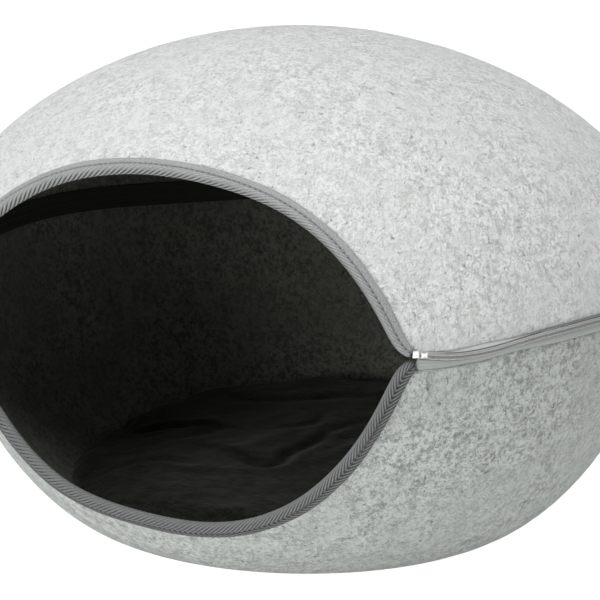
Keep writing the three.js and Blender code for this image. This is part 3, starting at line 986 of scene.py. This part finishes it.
# The slider, on axes of its own: x along the zip, y up across it and z out of the
# egg. Heights are measured out from the plain egg.
SLIDER_AT = -49.5
SLIDER_LENGTH = 10
SLIDER_FRONT, SLIDER_BACK = 8, 6.4
PLATE = (1.75, 2.9)
FLANGE = (0.75, 2.2)
FLANGE_ACROSS = 3.1
BRIDGE_AT = 1.75
BRIDGE_FOOT = 2.6
BRIDGE_STEPS = 14
PULL_LENGTH = 24.5
PULL_WIDTH = 6.4
PULL_TOP = 2.4
PULL_HEIGHT = 3.75
PULL_THICK = 1.1
PULL_STEPS = 44


def on_zip(bm):
    """Takes a bmesh in millimetres from the slider's axes to its place on the zip."""
    phi = np.radians([SLIDER_AT - 0.5, SLIDER_AT, SLIDER_AT + 0.5])
    row, higher = (seam_point(phi, zip_height(phi), depth) for depth in (0, -1))
    along = Vector(row[2] - row[0]).normalized()
    out = Vector(higher[1] - row[1]).normalized()
    up = out.cross(along).normalized()
    turn = Matrix((along, up, along.cross(up))).transposed().to_4x4()
    place = Matrix.Translation(Vector(row[1]) * MM) @ turn @ Matrix.Scale(MM, 4)
    bmesh.ops.transform(bm, matrix=place, verts=bm.verts)
    return bm


def loop_of(bm, outline, steps, z):
    """A closed line of points, moved from a circle to an outline."""
    ring = bmesh.ops.create_circle(bm, segments=steps, radius=1)["verts"]
    for vert in ring:
        angle = math.atan2(vert.co.y, vert.co.x)
        vert.co = (*outline(math.cos(angle), math.sin(angle)), z)
    return ring


def edges_of(verts):
    """The edges at some corners, each once and in a fixed order."""
    return list(dict.fromkeys(e for v in verts for e in v.link_edges))


def rounded(c, s, power=0.55):
    """A point of a rounded rectangle that reaches 1 each way."""
    return math.copysign(abs(c) ** power, c), math.copysign(abs(s) ** power, s)


def raise_up(bm, faces, height):
    """Thickens flat faces by a height. Returns what was made."""
    made = bmesh.ops.extrude_face_region(bm, geom=faces, use_keep_orig=True)["geom"]
    verts = [v for v in made if isinstance(v, bmesh.types.BMVert)]
    bmesh.ops.translate(bm, verts=verts, vec=(0, 0, height))
    return made


def bevel(bm, edges, width):
    bmesh.ops.bevel(bm, geom=edges, offset=width, offset_type="OFFSET", segments=3,
                    profile=0.5, affect="EDGES", material=-1, clamp_overlap=True)


def slab(bm, outline, steps, heights, edge):
    """A flat piece between two heights, with its upper edge bevelled."""
    low, high = heights
    ring = loop_of(bm, outline, steps, low)
    face = bmesh.ops.contextual_create(bm, geom=ring)["faces"]
    top = raise_up(bm, face, high - low)
    bevel(bm, [e for e in top if isinstance(e, bmesh.types.BMEdge)], edge)


def slider_outline(c, s):
    x, y = rounded(c, s)
    wide = (SLIDER_FRONT + SLIDER_BACK) / 2 + x * (SLIDER_FRONT - SLIDER_BACK) / 2
    return x * SLIDER_LENGTH / 2, y * wide / 2


def slider_body():
    """Slider: a plate over the coil, a flange down each side and a bridge over it."""
    bm = bmesh.new()
    slab(bm, slider_outline, 40, PLATE, 0.4)
    for side in (-1, 1):
        def flange(c, s, side=side):
            x, y = rounded(c, s, 0.4)
            middle = side * (FLANGE_ACROSS + 0.35 * x)
            return 0.9 * x * SLIDER_LENGTH / 2, middle + 0.55 * y
        slab(bm, flange, 16, FLANGE, 0.2)
    ring = loop_of(bm, lambda c, s: (BRIDGE_AT + 0.42 * c, 0.95 * s), 12, BRIDGE_FOOT)
    bmesh.ops.spin(bm, geom=ring + edges_of(ring), cent=(0, 0, BRIDGE_FOOT), axis=(0, 1, 0),
                   angle=-math.pi, steps=BRIDGE_STEPS)
    finished("slider_body", on_zip(bm), METAL, ["zip_slider"])


def pull_tab():
    """Pull tab: a slim bevelled plate with an eye for the bridge."""
    bm = bmesh.new()

    def outline(c, s):
        x, y = rounded(c, s, 0.75)
        wide = PULL_WIDTH / 2 - 0.5 * (y + 1) / 2
        return x * wide, PULL_TOP - PULL_LENGTH / 2 + y * PULL_LENGTH / 2

    def eye(c, s):
        x, y = rounded(c, s)
        return 1.5 * x, -0.3 + 1.35 * y

    verts = [v for shape in (outline, eye) for v in loop_of(bm, shape, PULL_STEPS, PULL_HEIGHT)]
    plate = bmesh.ops.bridge_loops(bm, edges=edges_of(verts))["faces"]
    raise_up(bm, plate, PULL_THICK)
    bevel(bm, [e for e in bm.edges if e.is_valid and e.calc_face_angle(0) > 1], 0.25)
    finished("pull_tab", on_zip(bm), METAL, ["zip_pull"])


slider_body()
pull_tab()


# ---- Cushion ----

VOXEL = 0.005
PRESSURE = 4
SIMULATED_FRAMES = 20
SLACK = 0.001
UP_CAP = 0.003
DOWN_CAP = 0.0005
SIDE_CAP = 0.0025
PATH_STEPS = 40
PUFF_HEIGHT = 0.9
PUFF_HALF = 8
COVER_SWELLS = ((1.2, 48), (0.7, 19), (0.3, 7))

# Folds in the loose cover: a path across the top in millimetres, the half width
# and depth of its crease, and how much the cover left of it rides up
FOLDS = (
    (((-172, 34), (-146, 18), (-126, -6), (-102, 9), (-78, 15), (-56, 13)), 3.8, 2.8, 0.6),
    (((-150, 52), (-136, 32), (-124, 2)), 3.5, 2.6, -0.8),
    (((-72, -26), (-42, -32), (-24, -39), (-4, -48), (5, -40), (2, -18), (5, 11), (3, 36),
      (14, 62)), 4.4, 1.9, 0.35),
    (((-118, 84), (-84, 74), (-52, 84), (-26, 102), (8, 112)), 4.5, 0.9, 0.3),
    (((44, -34), (60, -12), (66, 20), (58, 58), (66, 84)), 4.5, 1.1, 0.3),
    (((-104, -92), (-84, -66), (-58, -62), (-38, -67)), 4, 0.8, 0.2),
    (((100, -52), (116, -18), (110, 30)), 4.5, 1.0, -0.3),
    (((-92, -24), (-70, 4), (-78, 40)), 4.5, 0.7, 0.2),
    (((-40, 20), (-16, 44), (-20, 74)), 4, 0.8, 0.2),
)
# Paths along which the filling swells the cover
PUFFS = (((-44, -68), (-8, -64), (10, -56)), ((-30, -20), (-20, 20)), ((26, -10), (36, 26)))


def on_path(points, path):
    """How far points are from a path seen from above, positive on its left, and how
    far along the path they are, from 0 to 1."""
    line = smooth_path(path, PATH_STEPS)
    best = np.full(len(points), np.inf)
    side, share = np.zeros(len(points)), np.zeros(len(points))
    for i, (a, b) in enumerate(zip(line, line[1:])):
        along = b - a
        t = np.clip((points[:, :2] - a) @ along / (along @ along), 0, 1)
        gap = points[:, :2] - (a + t[:, None] * along)
        far = np.hypot(gap[:, 0], gap[:, 1])
        near = far < best
        best = np.where(near, far, best)
        side = np.where(near, np.sign(along[0] * gap[:, 1] - along[1] * gap[:, 0]), side)
        share = np.where(near, (i + t) / PATH_STEPS, share)
    return best * side, share


def corners(mesh):
    places = np.empty(len(mesh.vertices) * 3)
    mesh.vertices.foreach_get("co", places)
    return places.reshape(-1, 3)


def place_corners(mesh, places):
    mesh.vertices.foreach_set("co", places.ravel())
    mesh.update()


def facings(mesh):
    return np.array([v.normal for v in mesh.vertices])


def baked(piece):
    """The piece's mesh with its modifiers worked in, which are then taken off."""
    bpy.context.view_layer.update()
    whole = piece.evaluated_get(bpy.context.evaluated_depsgraph_get())
    mesh = bpy.data.meshes.new_from_object(whole)
    piece.modifiers.clear()
    piece.data = mesh
    return mesh


def fill(piece):
    """Blows the cover up from inside, holding each point to a short way out."""
    start = corners(piece.data) - facings(piece.data) * SLACK
    place_corners(piece.data, start)
    cloth = piece.modifiers.new("filling", "CLOTH")
    cloth.settings.use_pressure = True
    cloth.settings.uniform_pressure_force = PRESSURE
    cloth.settings.effector_weights.gravity = 0
    cloth.point_cache.frame_end = SIMULATED_FRAMES
    for frame_number in range(1, SIMULATED_FRAMES + 1):
        bpy.context.scene.frame_set(frame_number)
    moved = corners(baked(piece)) - start
    bpy.context.scene.frame_set(1)
    moved[:, 2] = np.clip(moved[:, 2], -DOWN_CAP, UP_CAP)
    sideways = np.linalg.norm(moved[:, :2], axis=1, keepdims=True)
    moved[:, :2] *= np.minimum(1, SIDE_CAP / np.maximum(sideways, 1e-9))
    place_corners(piece.data, start + moved)


def crumpled(places, up):
    """The cover's folds and soft unevenness, in millimetres, where it faces up."""
    height = np.zeros(len(places))
    for path, width, depth, ride in FOLDS:
        off, share = on_path(places, path)
        taper = np.sin(math.pi * np.clip(share, 0.02, 0.98)) ** 0.6
        beside = (np.abs(off) - 2.1 * width) / (1.3 * width)
        height -= depth * taper * bell(off / width)
        height += 0.3 * depth * taper * bell(beside)
        height += ride * taper * np.tanh(off / 2) * bell(off / (4 * width))
    for path in PUFFS:
        off = on_path(places, path)[0]
        height += PUFF_HEIGHT * bell(off / PUFF_HALF)
    return (height + np.array([swelling(p, COVER_SWELLS) for p in places])) * up


def cushion_body():
    """The cushion: a cover that its filling swells, with the folds of a loose cover."""
    bm = bmesh.new()
    bm.from_mesh(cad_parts["cushion"].data)
    bmesh.ops.remove_doubles(bm, verts=bm.verts, dist=1e-5)
    piece = finished("bed_cushion", bm, PLUSH, ["cushion"])
    remesh = piece.modifiers.new("even_faces", "REMESH")
    remesh.mode = "VOXEL"
    remesh.voxel_size = VOXEL
    baked(piece)
    fill(piece)
    finer = piece.modifiers.new("finer", "SUBSURF")
    finer.levels = finer.render_levels = 1
    mesh = baked(piece)
    places, facing = corners(mesh), facings(mesh)
    up = np.clip((facing[:, 2] + 0.1) / 0.6, 0, 1)
    places[:, 2] += crumpled(places / MM, up) * MM
    place_corners(mesh, places)
    for face in mesh.polygons:
        face.use_smooth = True
    return piece


bed_cushion = cushion_body()


# ---- Camera, light and floor, in metres, degrees and watts ----

CAMERA_AZIMUTH = 28.347
CAMERA_ELEVATION = 13.896
CAMERA_DISTANCE = 2.4
CAMERA_LENS = 221.6
AIM_BELOW = 0.0232
AIM_LEFT = 0.0012
LIT_HEIGHT = 0.17
SKY_LIGHT = 0.1
FLOOR_HALF = 6
PAPER = 0.82
PAPER_GLOW = 0.36
PAPER_SEEN = 1.2
PAPER_WHITE = 0.8


def face_toward(thing, target):
    thing.rotation_euler = (target - thing.location).to_track_quat("-Z", "Y").to_euler()


seam_middle = Vector((0, 0, SEAM_HEIGHT * MM))
a, e = math.radians(CAMERA_AZIMUTH), math.radians(CAMERA_ELEVATION)
back = Vector((math.sin(a) * math.cos(e), -math.cos(a) * math.cos(e), math.sin(e)))
right = Vector((0, 0, 1)).cross(back).normalized()
camera = in_scene("camera", bpy.data.cameras.new("camera"))
camera.data.sensor_width = 36
camera.data.lens = CAMERA_LENS
camera.data.clip_end = 20
camera.location = seam_middle + back * CAMERA_DISTANCE
face_toward(camera, seam_middle - back.cross(right) * AIM_BELOW - right * AIM_LEFT)
bpy.context.scene.camera = camera


def panel(name, position, size, power):
    light = bpy.data.lights.new(name, "AREA")
    light.shape = "RECTANGLE"
    light.size, light.size_y = size
    light.energy = power
    lamp = in_scene(name, light)
    lamp.location = position
    face_toward(lamp, Vector((0, 0, LIT_HEIGHT)))
    lamp.visible_camera = False


panel("overhead_softbox", (0.1, -0.2, 1.7), (2.2, 2.2), 27)
panel("high_front_softbox", (0.4, -0.95, 2.0), (1.6, 1.0), 12)
panel("left_card", (-0.8, -1.8, 0.45), (0.7, 0.5), 3.6)
panel("low_front_card", (-0.35, -1.9, 0.32), (0.7, 0.4), 6.6)


def white_seen(tree, output, plain, white, share):
    """Mixes in a white shader that camera, mirror and glass rays see."""
    rays = tree.nodes.new("ShaderNodeLightPath").outputs
    seen = rays["Is Camera Ray"]
    for kind in ("Is Glossy Ray", "Is Transmission Ray"):
        seen = calculated(tree, "MAXIMUM", (seen, rays[kind]))
    part = calculated(tree, "MULTIPLY", (seen, share))
    mix = tree.nodes.new("ShaderNodeMixShader")
    for socket, source in zip(mix.inputs, (part, plain.outputs[0], white.outputs[0])):
        plug(tree, socket, source)
    plug(tree, tree.nodes[output].inputs["Surface"], mix.outputs[0])


world = bpy.data.worlds.new("studio")
bpy.context.scene.world = world
world.use_nodes = True
tree = world.node_tree
sky = tree.nodes["Background"]
set_inputs(sky, dict(Color=(1, 1, 1, 1), Strength=SKY_LIGHT))
seen = tree.nodes.new("ShaderNodeBackground")
set_inputs(seen, dict(Color=(1, 1, 1, 1), Strength=1.0))
white_seen(tree, "World Output", sky, seen, 1.0)

bm = bmesh.new()
bmesh.ops.create_grid(bm, x_segments=2, y_segments=2, size=FLOOR_HALF)
floor = in_scene("studio_floor", bpy.data.meshes.new("studio_floor"))
bm.to_mesh(floor.data)
bm.free()
paper = Finish("white_paper", 1.0, Base_Color=(PAPER, PAPER, PAPER, 1), Specular_IOR_Level=0.0,
               Emission_Color=(1, 1, 1, 1), Emission_Strength=PAPER_GLOW)
glow = paper.add("ShaderNodeEmission", Strength=PAPER_SEEN)
white_seen(paper.tree, "Material Output", paper.shader, glow, PAPER_WHITE)
floor.data.materials.append(paper.material)

bpy.context.scene.view_settings.view_transform = "Standard"
